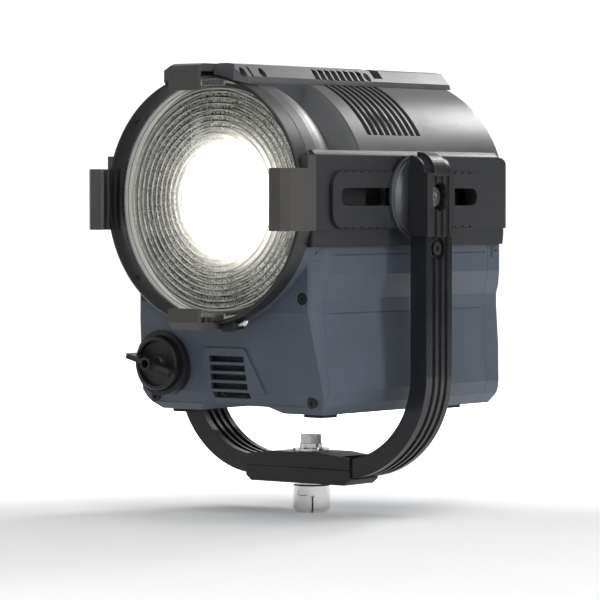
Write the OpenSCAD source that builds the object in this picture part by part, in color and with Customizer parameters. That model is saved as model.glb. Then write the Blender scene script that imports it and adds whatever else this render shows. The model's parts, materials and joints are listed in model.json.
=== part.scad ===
// Fresnel spotlight with an LED source, on a ribbed yoke with a combination spigot.
// Head coordinates put the optical axis on Y with the lens rim at y = 0 and the front facing -Y.
// Row coordinates start at the centre of the spigot's lower end.

/* [Layout] */
// Height of the optical axis above the spigot's lower end
axis_h = 243; // [238:1:250]
// Distance from the lens rim back to the yoke's plane
pivot_back = 118; // [112:1:124]
// Height of the tilt pivot above the optical axis
pivot_z = 2; // [0:0.5:4]

/* [Lens] */
// Diameter of the fresnel lens
lens_d = 178; // [174:1:179]
// Thickness of the lens at its rim
lens_t = 9; // [7:1:12]
// Width of one prism ring
ring_w = 4.5; // [4:0.5:6]
// Depth of one prism ring
ring_depth = 1.6; // [1:0.2:3]

/* [Upper housing] */
// Outer radius of the barrel
barrel_r = 96; // [95.6:0.1:96.4]
// Outer radius of the front collar
collar_r = 94; // [93.8:0.1:94.4]
// How far the collar's edge stands in front of the lens rim
collar_front = 16; // [12:1:20]
// Back of the barrel behind the lens rim
barrel_back = 247; // [244:1:252]
// Wall thickness of the housing castings
wall = 2.5; // [2:0.1:3]
// Height of the top spine above the axis
spine_top = 101.5; // [101:0.5:104]
// Half width of the spine's flat top
spine_half = 31; // [28:1:33]

/* [Side panels] */
// Top edge of the black side band
band_top = 33; // [31:0.5:35]
// Bottom edge of the black side band
band_bottom = -35; // [-37:0.5:-33]
// Outer face of the slotted plate, from the middle
plate_x = 98; // [97.5:0.1:98.2]
// Front end of the balance slot
slot_front = 27; // [26:1:30]
// Back end of the balance slot
slot_back = 202; // [200:1:204]
// Height of the balance slot
slot_h = 13.4; // [13.2:0.1:14]

/* [Base housing] */
// Bottom of the base
base_bottom = -161; // [-162:0.5:-158]
// Half width at the upper lip
base_lip = 90; // [89:0.5:91]
// Half width at the waist
base_waist = 85; // [84:0.5:87]
// Seam between the front cover and the middle shell
front_seam = 23.5; // [22:0.5:25]
// Seam between the middle shell and the rear cover
rear_seam = 228; // [226:1:230]
// Upper front face behind the lens rim
face_y = 8; // [7:0.5:10]

/* [Focus drive] */
// Knob centre to the left of the middle
knob_x = 62; // [60:1:63]
// Knob centre below the axis
knob_z = -125; // [-126:1:-123]
// Radius of the knob
knob_r = 20.5; // [18:0.5:22]
// Radius of the lead screw
screw_r = 5; // [4:0.5:5]

/* [Yoke] */
// Outer face of an arm from the middle
yoke_x = 122; // [120:1:124]
// Thickness of the ribbed bar
bar_t = 15; // [14:0.5:15]
// Width of the ribbed bar
bar_w = 33; // [31:1:34]
// Radius of the bend at the bar's inner face
bend_in = 66; // [65:1:68]
// Top of the bar's bottom run above the spigot's lower end
bar_top = 43.5; // [43:0.5:45]

/* [Spigot] */
// Outer radius of the spigot
spigot_r = 14.5; // [14.2:0.1:14.6]
// Radius of the bore for a stand's stud
stud_r = 8.05; // [8:0.05:8.2]
// Depth of that bore
stud_depth = 12; // [10:0.5:12]

/* [Hidden] */

BLACK = "#1d1e20";
CHARCOAL = "#34363a";
SLATE = "#454b56";
STEEL = "#b9bcc0";

near = 0.01;                     // a cutter's reach past the face it cuts
fit = 0.05;                      // radial clearance of a running fit
gap = 0.1;                       // gap between flat faces that move past each other
lens_r = lens_d / 2;
tube_in = collar_r - 2.4;        // inside of the collar
pivot_h = axis_h + pivot_z;
bar_in = yoke_x - bar_t;
bend_out = bend_in + bar_t;
bend_h = bar_top + bend_in;      // height of the bend's centre
bend_x = yoke_x - bend_out;      // distance of the bend's centre from the middle
bar_bottom = bar_top - bar_t;
bolt_r = 5;                      // M10
pivot_r = 6;                     // M12
rod_r = 4;
rod_x = 68;
rod_z = -36;

// ---------- helpers ----------

// moves children from head coordinates to the row's coordinates
module head() {
    translate([0, -pivot_back, axis_h]) children();
}

// extrudes an outline drawn in X and Z along Y
module along_y(y0, y1) {
    translate([0, y1, 0]) rotate([90, 0, 0]) linear_extrude(y1 - y0) children();
}

// extrudes an outline drawn in Y and Z along X
module along_x(x0, x1) {
    translate([x0, 0, 0]) rotate([90, 0, 90]) linear_extrude(x1 - x0) children();
}

// a round bar along Y
module rod_y(r, y0, y1, n = 96) {
    translate([0, y0, 0]) rotate([-90, 0, 0]) cylinder(h = y1 - y0, r = r, $fn = n);
}

// a round bar along X
module rod_x(r, x0, x1, n = 96) {
    translate([x0, 0, 0]) rotate([0, 90, 0]) cylinder(h = x1 - x0, r = r, $fn = n);
}

// turns an outline of radius and depth about the optical axis
module turned(n = 180) {
    rotate([-90, 0, 0]) rotate_extrude($fn = n) children();
}

// both sides: children at +X and their mirror image
module both_sides() {
    children();
    mirror([1, 0, 0]) children();
}

// a rectangle from corner to corner
module rect(x0, y0, x1, y1) {
    translate([x0, y0]) square([x1 - x0, y1 - y0]);
}

// a rectangle with round corners
module round_rect(x0, y0, x1, y1, r) {
    rect(x0 + r, y0, x1 - r, y1);
    rect(x0, y0 + r, x1, y1 - r);
    for (x = [x0 + r, x1 - r], y = [y0 + r, y1 - r]) translate([x, y]) circle(r, $fn = 48);
}

// points of an arc about (cx, cy)
function arc(cx, cy, r, a0, a1, n = 8) =
    [for (i = [0:n]) [cx + r * cos(a0 + (a1 - a0) * i / n), cy + r * sin(a0 + (a1 - a0) * i / n)]];

// ---------- spigot and its bolt ----------

spigot_top = 21.7;
module spigot() {
    chamfer = 3;
    color(STEEL) difference() {
        rotate_extrude($fn = 120) polygon([
            [0, 0], [spigot_r - chamfer * 0.75, 0], [spigot_r, chamfer],
            [spigot_r, spigot_top - 1], [spigot_r - 1, spigot_top], [0, spigot_top]
        ]);
        translate([0, 0, -near]) cylinder(h = stud_depth + near, r = stud_r, $fn = 96);
        translate([0, 0, stud_depth - near]) cylinder(h = spigot_top, r = bolt_r, $fn = 64);
        slit = 1.3;
        rotate(-50) translate([stud_r - 1, -slit / 2, -1]) cube([spigot_r, slit, 14]);
        rotate(-50) translate([0, 0, 13]) rotate([0, 90, 0]) translate([0, 0, stud_r - 1])
            cylinder(h = spigot_r, r = 1.3, $fn = 32);
        window = [8, 9, 3.7];
        rotate(-84) translate([spigot_r - 2, -window[1] / 2, 13.5]) cube(window);
    }
}

module spigot_washer() {
    color(STEEL) translate([0, 0, spigot_top]) difference() {
        cylinder(h = 1.7, r = 13, $fn = 96);
        translate([0, 0, -1]) cylinder(h = 4, r = bolt_r + 0.3, $fn = 64);
    }
}

clamp_low = spigot_top + 1.7 + gap;
clamp_high = 47.5;
module yoke_bolt() {
    shank_low = stud_depth + 1;
    head_low = clamp_high + gap + 6;
    head_h = 7;
    across_corners = 18.48;
    color(STEEL) {
        translate([0, 0, shank_low]) cylinder(h = head_low - shank_low + near, r = bolt_r, $fn = 64);
        translate([0, 0, head_low]) intersection() {
            cylinder(h = head_h, d = across_corners, $fn = 6);
            cylinder(h = head_h, r1 = across_corners / 2 + 3, r2 = across_corners / 2 - 0.5, $fn = 64);
        }
    }
}

module bolt_washers() {
    base = clamp_high + gap;
    bore = bolt_r + 0.3;
    color(CHARCOAL) translate([0, 0, base]) difference() {
        cylinder(h = 2.2, r = 14.8, $fn = 96);
        translate([0, 0, -1]) cylinder(h = 9, r = bore, $fn = 64);
    }
    color(STEEL) translate([0, 0, base + 2.2]) difference() {
        cylinder(h = 3.8, r = 9.25, $fn = 96);
        translate([0, 0, -1]) cylinder(h = 9, r = bore, $fn = 64);
        translate([4, -0.5, -1]) cube([8, 1, 9]);
    }
}

// ---------- yoke ----------

// the ribbed bar's section: thickness in x from 0, width centred on y
module bar_section() {
    groove = 1.3;
    groove_w = 5.4;
    pitch = 7.9;
    difference() {
        translate([0, -bar_w / 2]) square([bar_t, bar_w]);
        for (i = [-1:1]) translate([-near, i * pitch - groove_w / 2]) square([groove + near, groove_w]);
        for (i = [-1:1]) translate([bar_t - groove, i * pitch - groove_w / 2])
            square([groove + near, groove_w]);
    }
}

arm_end_x = 9;                   // each arm's end inside the clamp
sleeve_low = axis_h - 28;        // lower edge of the end piece
tang_low = sleeve_low - 20;
tang_screw_h = axis_h - 37;
module arm() {
    difference() {
        union() {
            translate([bar_in, 0, bend_h]) linear_extrude(sleeve_low - bend_h) bar_section();
            translate([bend_x, 0, bend_h]) rotate([90, 0, 0]) rotate([0, 0, -90])
                rotate_extrude(angle = 90, $fn = 180) translate([bend_in, 0]) bar_section();
            translate([arm_end_x, 0, bar_top]) rotate([0, 90, 0])
                linear_extrude(bend_x - arm_end_x) bar_section();
        }
        // pocket for the end piece's tang, and its screw
        translate([bar_in + 4, -9, tang_low]) cube([7, 18, 30]);
        translate([0, 0, tang_screw_h]) rod_x(2.6, bar_in - 1, yoke_x + 1, 48);
        translate([0, 0, tang_screw_h]) rod_x(8.6, yoke_x - 3.9, yoke_x + 1);
    }
}
module yoke_arm_right() { color(BLACK) arm(); }
module yoke_arm_left() { color(BLACK) mirror([1, 0, 0]) arm(); }

clamp_x = 50.6;
clamp_y = 18.6;
clamp_split = 35.7;
// the room that the arms take in the clamp
module arm_room() {
    both_sides() {
        translate([arm_end_x - near, -bar_w / 2, bar_bottom]) cube([clamp_x, bar_w, bar_t]);
        translate([bend_x, -bar_w / 2, clamp_split]) cube([20, bar_w, 30]);
    }
}

clamp_screw_places = [for (x = [-29, 29], y = [-13, 13]) [x, y]];
module clamp_outline() {
    end_high = clamp_high - 3;
    end_low = clamp_low + 4;
    polygon([
        [-clamp_x, end_low], [-clamp_x + 5, clamp_low], [clamp_x - 5, clamp_low], [clamp_x, end_low],
        [clamp_x, end_high], [24, clamp_high], [-24, clamp_high], [-clamp_x, end_high]
    ]);
}
module clamp_half(low, high) {
    difference() {
        intersection() {
            along_y(-clamp_y, clamp_y) clamp_outline();
            translate([-80, -40, low]) cube([160, 80, high - low]);
        }
        arm_room();
        translate([0, 0, -1]) cylinder(h = 80, r = bolt_r + fit, $fn = 64);
    }
}
module clamp_upper() { color(BLACK) clamp_half(clamp_split, 80); }
module clamp_lower() {
    color(BLACK) difference() {
        clamp_half(0, clamp_split - 0.4);
        for (p = clamp_screw_places) translate([p[0], p[1], 0]) {
            cylinder(h = bar_bottom + 1, r = 2.05, $fn = 32);
            cylinder(h = clamp_low + 2.5, r = 3.8, $fn = 32);
        }
    }
}
// short set screws that press the arms from below
module clamp_screws() {
    color(STEEL) for (p = clamp_screw_places) translate([p[0], p[1], clamp_low + 0.3]) difference() {
        union() {
            cylinder(h = 2.2, r = 3.6, $fn = 32);
            cylinder(h = bar_bottom - clamp_low - 0.3, r = 2, $fn = 32);
        }
        translate([0, 0, -near]) cylinder(h = 1.4, r = 1.6, $fn = 6);
    }
}

end_x = yoke_x + 1.7;            // outer face of the end piece
end_y = 17.4;
end_round = 16;
flat_high = 20;                  // where the end piece starts to round over, above the axis
band_y = 8;
recess = 11;                     // depth of the hole for the pivot bolt's head
module yoke_end() {
    inner = bar_in;
    difference() {
        union() {
            translate([0, 0, axis_h]) along_y(-band_y, band_y) polygon(concat(
                [[inner, -28], [end_x, -28]], arc(end_x - end_round, flat_high, end_round, 0, 90, 12),
                [[inner, flat_high + end_round]]
            ));
            translate([0, 0, axis_h]) along_y(-end_y, end_y) polygon(concat(
                [[inner, -28], [end_x, -28]], [[end_x, flat_high]],
                arc(end_x - end_round, flat_high, end_round - 3, 0, 90, 12),
                [[inner, flat_high + end_round - 3]]
            ));
            translate([bar_in + 4.1, -8.9, tang_low + 0.5]) cube([6.8, 17.8, 30]);
        }
        // three grooves down the outer face
        for (i = [-1:1]) translate([end_x - 1.4, i * 7.9 - 2.7, sleeve_low - 1]) cube([3, 5.4, 47]);
        translate([0, 0, pivot_h]) rod_x(pivot_r + fit, bar_in - 1, end_x + 1);
        translate([0, 0, pivot_h]) rod_x(11, end_x - recess, end_x + 1);
        translate([0, 0, tang_screw_h]) rod_x(2.1, bar_in - 1, yoke_x + 1, 48);
    }
}
module yoke_end_right() { color(CHARCOAL) yoke_end(); }
module yoke_end_left() { color(CHARCOAL) mirror([1, 0, 0]) yoke_end(); }

module yoke_end_screws() {
    color(STEEL) both_sides() translate([0, 0, tang_screw_h]) difference() {
        union() {
            rod_x(2, bar_in + 3, yoke_x - 3.8, 48);
            rod_x(5.2, yoke_x - 3.9, yoke_x - 1.8, 48);
        }
        rod_x(2, yoke_x - 3, yoke_x, 6);
    }
}

// clamping lever outside the left end piece
module tilt_lock_lever() {
    hub_x = end_x + gap;
    color(BLACK) translate([0, 0, pivot_h]) mirror([1, 0, 0]) difference() {
        union() {
            rod_x(13, hub_x, hub_x + 9);
            rod_x(9, hub_x + 8.9, hub_x + 14);
            translate([hub_x + 7, -5.5, -62]) cube([6, 11, 62]);
            translate([0, 0, -62]) rod_x(5.5, hub_x + 7, hub_x + 13, 48);
        }
        rod_x(pivot_r + fit, hub_x - 1, hub_x + 10);
    }
}

// ---------- tilt carrier ----------

nut_out = 85.8;
hub_in = plate_x + 0.3;
hub_out = bar_in - gap;
module hub_disc() {
    translate([0, 0, pivot_h]) rotate([0, 90, 0]) rotate_extrude($fn = 144) polygon(concat(
        [[pivot_r + fit, hub_in], [32, hub_in], [32, hub_in + 2.2], [31.2, hub_in + 2.8]],
        [[29.6, hub_in + 2.8]],
        [[29, hub_in + 3.6], [24, hub_in + 5.2], [17, hub_in + 6.6], [13, hub_in + 7.2]],
        [[12, hub_out], [pivot_r + fit, hub_out]]
    ));
}
module hub_disc_right() { color(SLATE) hub_disc(); }
module hub_disc_left() { color(SLATE) mirror([1, 0, 0]) hub_disc(); }

module pivot_bolt(tip) {
    translate([0, 0, pivot_h]) difference() {
        union() {
            rod_x(pivot_r, nut_out - 5, tip);
            if (tip < end_x) rod_x(7.6, end_x - recess + 0.1, end_x - recess + 4.6);
        }
        if (tip < end_x) rod_x(3, end_x - recess + 1.6, end_x, 6);
    }
}
module pivot_bolt_right() { color(STEEL) pivot_bolt(end_x - recess + 0.2); }
module pivot_bolt_left() { color(STEEL) mirror([1, 0, 0]) pivot_bolt(end_x + 8); }

// flanged nuts that slide in the balance slots
module slot_nuts() {
    boss = slot_h / 2 - 0.1;
    color(STEEL) both_sides() translate([0, 0, pivot_h]) difference() {
        union() {
            along_x(nut_out - 5.2, nut_out) rect(-20, -11, 20, 11);
            along_x(nut_out - near, hub_in) round_rect(-9, -boss, 9, boss, 3);
        }
        rod_x(pivot_r, nut_out - 8, hub_in + 1);
    }
}

// ---------- upper housing ----------

// outside of the vault from the collar seam to the barrel's front edge, as radius and depth
function vault_outline() = [
    [collar_r - 0.5, -0.6], [collar_r, 0], [collar_r, 12], [collar_r - 0.4, 18],
    [collar_r - 1.6, 24], [collar_r - 3.8, 30], [collar_r - 7, 36], [collar_r - 10.6, 41.5],
    [collar_r - 13, 46], [collar_r - 13.8, 49.5], [collar_r - 13, 52], [barrel_r - 9, 55.5],
    [barrel_r - 3, 59], [barrel_r - 0.8, 60.6], [barrel_r, 62.5]
];
module upper_half(from_z) {
    translate([-150, -50, from_z]) cube([300, 400, 200]);
}

// one row of vent slots around the barrel, on the right-hand side
module barrel_vents() {
    first = 79.6;
    pitch = 7.85;
    slot = 5.6;
    for (i = [0:8]) translate([0, first + i * pitch, 0]) rotate([90, 0, 0])
        rotate([0, 0, 30.5]) translate([0, 0, -slot]) rotate_extrude(angle = 35.5, $fn = 120)
            translate([barrel_r - 5, 0]) square([10, slot]);
}

module barrel_shell() {
    inner = collar_r - 1.5;
    back = arc(barrel_r - 5, barrel_back - 5, 5, 0, 80, 6);
    color(CHARCOAL) head() difference() {
        union() {
            intersection() {
                turned() polygon(concat(
                    vault_outline(), back,
                    [[barrel_r - wall - 3, barrel_back - 0.2], [barrel_r - wall - 3, barrel_back - 3]],
                    [[barrel_r - wall, 62], [collar_r - 16.5, 52], [collar_r - 16.5, 46]],
                    [[collar_r - 9.5, 34], [collar_r - 4, 24], [collar_r - wall, 18]],
                    [[inner, 14], [inner, -0.6]]
                ));
                upper_half(band_top);
            }
            // ledges that meet the side bands, in the scoop and outside the vault
            both_sides() along_y(30, 66) polygon([
                [70, band_top], [88, band_top], [86, band_top + 1.6], [82, band_top + 3],
                [76, band_top + 4.6], [72, band_top + 7], [70, band_top + 7]
            ]);
            both_sides() along_y(2, barrel_back - 9) difference() {
                polygon([
                    [80, band_top], [94, band_top], [92.6, band_top + 0.5],
                    [91, band_top + 1.8], [89.8, band_top + 3.6], [86, band_top + 3.6]
                ]);
                circle(collar_r - 1, $fn = 180);
            }
        }
        barrel_vents();
        mirror([1, 0, 0]) barrel_vents();
        // duct from the spine's grille into the barrel
        translate([-26, 78, 80]) cube([52, 52, 20]);
    }
}

// the flat rail along the top of the barrel, with a hood over the collar that carries the latch
spine_front = -20;
spine_back = 248;
spine_side = 40;
bevel_low = spine_top - 14.4;
latch_y = -12;
latch_z = 97.7;
latch_half = 14.2;
module top_spine() {
    slots = 8;
    slot_pitch = 8;
    color(CHARCOAL) head() difference() {
        along_y(spine_front, spine_back) polygon([
            [-spine_side, 60], [-spine_side, bevel_low], [-spine_side + 1.4, spine_top - 10],
            [-spine_half, spine_top - 1.2], [-spine_half + 8, spine_top],
            [spine_half - 8, spine_top], [spine_half, spine_top - 1.2],
            [spine_side - 1.4, spine_top - 10], [spine_side, bevel_low], [spine_side, 60]
        ]);
        // sits on the collar, the scoop and the barrel
        turned() polygon(concat(
            [[0, spine_front - 1], [collar_r + 0.3, spine_front - 1], [collar_r + 0.3, -0.6]],
            [for (k = [1:len(vault_outline()) - 1]) vault_outline()[k] + [fit, 0]],
            [[barrel_r + fit, spine_back + 1], [0, spine_back + 1]]
        ));
        // the hood's front edge slopes and narrows
        along_x(-60, 60) polygon([
            [spine_front - 1, 96.5], [spine_front, 96.5], [spine_front + 6, 102], [spine_front - 1, 102]
        ]);
        both_sides() translate([0, 0, 50]) linear_extrude(60)
            polygon([[33, spine_front - 1], [42, spine_front - 1], [42, spine_front + 14]]);
        // notch for the latch
        translate([-latch_half - 0.5, spine_front - 1, 85]) cube([2 * latch_half + 1, 14.5, 30]);
        translate([0, latch_y, latch_z]) rod_x(1.6, -20, 20, 48);
        // gap in front of the rear block
        translate([-60, 150, spine_top - 7.5]) cube([120, 11.5, 20]);
        both_sides() for (i = [0:slots - 1]) translate([0, 73 + i * slot_pitch, 0])
            translate([spine_half - 3, 0, 91.4]) rotate([-12, 0, 0]) cube([14, 5.8, 8]);
        both_sides() translate([0, 141.5, 94.8]) rod_x(3.6, spine_half + 2, 50, 32);
        both_sides() for (y = [latch_y, 11]) translate([0, y, 94.4]) rod_x(3.6, spine_half, 50, 32);
        both_sides() translate([spine_half, -4.4, 91]) cube([20, 2.6, 7.5]);
    }
}

module front_collar() {
    rib_in = 87.5;
    color(BLACK) head() {
        turned() polygon([
            [tube_in, -collar_front], [collar_r - 0.8, -collar_front], [collar_r, -collar_front + 0.8],
            [collar_r, -1.4], [collar_r - 0.8, -0.7], [tube_in + 0.8, -0.7],
            [tube_in + 0.8, lens_t + 0.1], [tube_in, lens_t + 0.1]
        ]);
        // ribs that carry the clips' comb on into the collar
        both_sides() for (y = [-14.3, -8.3]) intersection() {
            rod_y(tube_in + 1, y, y + 1.4, 180);
            translate([rib_in, -collar_front, -23]) cube([10, collar_front, 46]);
        }
    }
}

// the back of the upper housing, with a bay for the control panel
panel_x = 46;
panel_low = -26;
panel_high = 56;
module rear_housing_cover() {
    color(CHARCOAL) head() difference() {
        intersection() {
            rod_y(barrel_r - wall - 3.2, barrel_back - 8, barrel_back - 0.4, 180);
            upper_half(band_bottom + 0.2);
            translate([-85.8, 0, -100]) cube([171.6, 400, 300]);
        }
        along_y(barrel_back - 3.4, barrel_back + 1) rect(-panel_x, panel_low, panel_x, panel_high);
        along_y(barrel_back - 9, barrel_back + 1)
            rect(-panel_x + 3, panel_low + 3, panel_x - 3, panel_high - 3);
        for (i = [0:3]) along_y(barrel_back - 9, barrel_back + 1)
            both_sides() round_rect(12, 62 + i * 6, 40 - i * 5, 65.4 + i * 6, 1.6);
        both_sides() translate([rod_x, 0, rod_z + 12]) rod_y(2, 200, 300, 32);
    }
}

// ---------- side panels and slotted plates ----------

plate_front = 17;
plate_back = 211;
plate_low = -21.5;
plate_high = 21;
plate_in = 90.5;
plate_corner = 12;
module slot_outline(grow) {
    half = slot_h / 2 + grow;
    round_rect(slot_front - grow, pivot_z - half, slot_back + grow, pivot_z + half, half - near);
}
// the panel's plan: its outer face lies inset inside the largest one
module panel_plan(inset) {
    inner = nut_out + 0.1;
    polygon(concat(
        [[inner, -0.6], [93.6 - inset, -0.6], [94.6 - inset, 0.4], [94.8 - inset, 20], [95.8 - inset, 90]],
        [[97 - inset, 170]], arc(91 - inset, barrel_back - 6, 6, 0, 90, 6), [[inner, barrel_back]]
    ));
}
strip_top = plate_low - 1;
module side_panel() {
    difference() {
        union() {
            intersection() {
                translate([0, 0, strip_top]) linear_extrude(band_top - strip_top - near) panel_plan(0);
                along_x(50, 120) polygon(concat(
                    [[-20, -40], [-20, band_top]], arc(barrel_back - 14, band_top - 14, 14, 90, 0, 8),
                    [[barrel_back, 0], [barrel_back - 1.5, strip_top], [barrel_back - 1.5, -40]]
                ));
            }
            // the lower strip lies deeper and slopes in at the back
            intersection() {
                translate([0, 0, band_bottom]) linear_extrude(strip_top - band_bottom + near) panel_plan(2.2);
                along_x(50, 120) polygon([
                    [-20, -40], [-20, 0], [barrel_back - 2, 0],
                    [barrel_back - 2, strip_top], [barrel_back - 7, -40]
                ]);
            }
            // channel behind the slot, in which the nut slides
            difference() {
                along_x(78.4, nut_out + 1) rect(20, -15, 216, 19);
                along_x(79.9, nut_out + 2) rect(21.5, -13.5, 214.5, 17.5);
            }
        }
        rod_y(collar_r - 1.5, -30, lens_t + 5, 180);
        along_x(plate_in, 120) round_rect(
            plate_front - 0.1, plate_low - 0.1, plate_back + 0.1, plate_high + 0.1, plate_corner
        );
        along_x(82, 120) slot_outline(0.4);
    }
}
module side_panel_right() { color(BLACK) head() side_panel(); }
module side_panel_left() { color(BLACK) head() mirror([1, 0, 0]) side_panel(); }

module slot_plate() {
    difference() {
        along_x(plate_in, plate_x) round_rect(plate_front, plate_low, plate_back, plate_high, plate_corner);
        along_x(60, 120) slot_outline(0);
        // balance marks every centimetre
        for (i = [0:16], z = [plate_low, plate_high]) translate([0, 32 + i * 10, z])
            rod_x(1.5, plate_x - 1.6, plate_x + 1, 24);
    }
}
module slot_plate_right() { color(BLACK) head() slot_plate(); }
module slot_plate_left() { color(BLACK) head() mirror([1, 0, 0]) slot_plate(); }

// ---------- base housing ----------

arch = 5;
function half_base(i) = [
    [base_lip - i, band_bottom - 0.1], [base_lip - i, -56], [base_waist - i, -74], [base_waist - i, -84],
    [base_lip - 1 - i, -143 + i], [base_lip - 4.5 - i, -153 + i], [base_lip - 12.5 - i, base_bottom + i],
    [41, base_bottom + i], [31, base_bottom + arch + i]
];
function flip(points) = [for (k = [len(points) - 1:-1:0]) [-points[k][0], points[k][1]]];
module base_section(i) {
    polygon(concat(half_base(i), flip(half_base(i))));
}
// the sloping front seen from the side
function front_line(i) = [
    [face_y + i, band_bottom], [face_y + i, -84], [face_y + 10.5 + i, -146],
    [face_y + 16 + i, base_bottom + arch + i * 0.6], [face_y + 23 + i, base_bottom + i]
];
module base_side_view(i) {
    polygon(concat(front_line(i), [[barrel_back - i, base_bottom + i], [barrel_back - i, band_bottom]]));
}
// the base's plan, with its front corners cut back
module base_plan(i) {
    polygon([
        [-80 + i, face_y - 1 + i], [80 - i, face_y - 1 + i], [82.5 - i, face_y + 1.5 + i],
        [base_lip + 1 - i, front_seam + 0.5 + i], [base_lip + 1 - i, barrel_back - 4],
        [base_lip - 3 - i, barrel_back - i], [-base_lip + 3 + i, barrel_back - i],
        [-base_lip - 1 + i, barrel_back - 4], [-base_lip - 1 + i, front_seam + 0.5 + i],
        [-82.5 + i, face_y + 1.5 + i]
    ]);
}
module base_solid(i) {
    intersection() {
        along_y(0, 300) base_section(i);
        along_x(-100, 100) base_side_view(i);
        translate([0, 0, -200]) linear_extrude(200) base_plan(i);
    }
}
vent_slope = 10.5 / 62;
corner_screws = [for (x = [-76, 76], z = [-73.5, -151.5]) [x, z]];
function face_at(z) = z > -84 ? face_y : face_y + (-84 - z) * vent_slope;
module base_front_cover() {
    color(SLATE) head() difference() {
        union() {
            difference() {
                intersection() {
                    base_solid(0);
                    translate([-120, 0, -220]) cube([240, front_seam - 0.3, 220]);
                }
                intersection() {
                    base_solid(wall);
                    translate([-120, face_y + wall, -220]) cube([240, 30, 220]);
                }
            }
            // raised field around the vents
            intersection() {
                along_x(-60, 60) polygon([
                    [face_at(-112) - 1.2, -112], [face_at(-112) + 1, -112],
                    [face_at(-146) + 1, -146], [face_at(-146) - 1.2, -146]
                ]);
                along_y(0, 40) polygon([[-20, -112], [18, -112], [34, -146], [-32, -146]]);
            }
            // lower arc of the ring behind the collar
            intersection() {
                turned() polygon([
                    [collar_r - 1.5, -0.6], [collar_r - 0.5, -0.6], [collar_r, 0], [collar_r + 0.01, 20],
                    [collar_r - 1.5, 20]
                ]);
                translate([-200, -50, -200]) cube([400, 400, 200 + band_bottom - 0.1]);
            }
        }
        rod_y(collar_r - 1.5, -30, 60, 180);
        translate([-knob_x, 0, knob_z]) rod_y(flange_boss + 0.1, 0, 60, 64);
        translate([-knob_x, 0, knob_z]) rod_y(knob_r + 0.6, 0, knob_back + 0.5);
        for (i = [0:4]) along_y(0, 40)
            rect(-17 - i * 0.25, -122.6 - i * 6.9, 16.4 + i * 0.3, -118 - i * 6.9);
        for (p = corner_screws) translate([p[0], 0, p[1]]) {
            rod_y(4.6, 0, face_at(p[1]) + 2, 48);
            rod_y(2.1, 0, 60, 32);
        }
    }
}
module base_mid_shell() {
    line_run = rear_seam - front_seam - 8;
    color(SLATE) head() difference() {
        intersection() {
            base_solid(0);
            translate([-120, front_seam, -220]) cube([240, rear_seam - front_seam - 0.3, 220]);
        }
        intersection() {
            along_y(0, 300) base_section(wall);
            along_x(-100, 100) polygon(concat(front_line(wall), [[300, base_bottom + wall], [300, 0]]));
        }
        rod_y(collar_r, -30, 14, 180);
        for (x = [-76, 76]) translate([x, 0, -151.5]) rod_y(2.1, 0, 60, 32);
        // shallow panel line along both sides
        both_sides() translate([base_waist - 0.5, front_seam + 4, -85.2]) cube([10, line_run, 0.7]);
        both_sides() translate([base_lip - 0.9, front_seam + 4, -41.5]) cube([10, line_run, 0.9]);
    }
}
socket_places = [[-48, -110], [-16, -110], [28, -110]];
module base_rear_cover() {
    color(SLATE) head() difference() {
        intersection() {
            base_solid(0);
            translate([-120, rear_seam, -220]) cube([240, 100, 220]);
        }
        intersection() {
            along_y(0, barrel_back - wall) base_section(wall);
            translate([-100, 0, -200]) cube([200, barrel_back - wall, 200]);
        }
        for (p = socket_places) translate([p[0], 0, p[1]]) rod_y(11.6, 200, 300, 64);
        for (i = [0:4]) along_y(200, 300) round_rect(-60, -58 - i * 7, 60, -54.5 - i * 7, 1.7);
        for (x = [-79, 79], z = [-92, -150]) translate([x, 0, z]) rod_y(2.1, 200, 300, 32);
    }
}
module base_feet() {
    foot_h = 2.5;
    color(BLACK) head() for (x = [-64, 64], y = [46, 206])
        translate([x, y, base_bottom - foot_h]) linear_extrude(foot_h) round_rect(-10, -10, 10, 10, 4);
}
module screw_y(y0, y1, r, length) {
    difference() {
        union() {
            rod_y(r, y0, y1, 32);
            rod_y(2, y0, y0 + length, 32);
        }
        rod_y(1.5, y0 - 1, y0 + 1.6, 6);
    }
}
module cover_screws() {
    color(BLACK) head() {
        for (p = corner_screws) translate([p[0], face_at(p[1]) + 0.4, p[1]]) screw_y(-0.4, 1.6, 4, 12);
        for (x = [-79, 79], z = [-92, -150]) translate([x, barrel_back + 1.8, z]) rotate([0, 0, 180])
            screw_y(0, 1.8, 3.6, 12);
    }
}

// ---------- lens ----------

bull_r = 13.5;
rings = floor((lens_r - 6 - bull_r) / ring_w);
module fresnel_lens() {
    rim_in = bull_r + rings * ring_w;
    color("#cfe0d8", 0.6) head() turned() polygon(concat(
        [[0, lens_t], [0, -1.5], [bull_r * 0.55, -0.9], [bull_r * 0.82, 0.2], [bull_r, 1.2]],
        [for (i = [0:rings - 1], k = [0, 1]) k == 0
            ? [bull_r + i * ring_w + 0.01, -0.2]
            : [bull_r + (i + 1) * ring_w - 0.3, -0.2 + ring_depth]],
        [[rim_in, 0], [lens_r - 0.8, 0], [lens_r, 0.8], [lens_r, lens_t - 0.8], [lens_r - 0.8, lens_t]]
    ));
}
module lens_ring() {
    color(STEEL) head() turned() polygon([
        [lens_r + 0.1, -1.2], [tube_in - 0.2, -1.2], [tube_in - 0.2, lens_t], [lens_r + 0.1, lens_t]
    ]);
}
module lens_clips() {
    color(STEEL) head() for (a = [0, 90, 270]) rotate([0, a, 0])
        translate([lens_r - 3.6, -3.2, -10.5]) cube([5.3, 1.6, 21]);
}
module lens_cell() {
    color(BLACK) head() difference() {
        union() {
            turned() polygon([
                [lens_r - 6, lens_t + 0.2], [collar_r - 1.8, lens_t + 0.2],
                [collar_r - 1.8, lens_t + 4], [lens_r - 6, lens_t + 4]
            ]);
            both_sides() translate([rod_x, 0, rod_z]) rod_y(9, lens_t + 0.2, lens_t + 8, 48);
        }
        both_sides() translate([rod_x, 0, rod_z]) rod_y(rod_r, lens_t + 1.5, 60, 48);
    }
}

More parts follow.
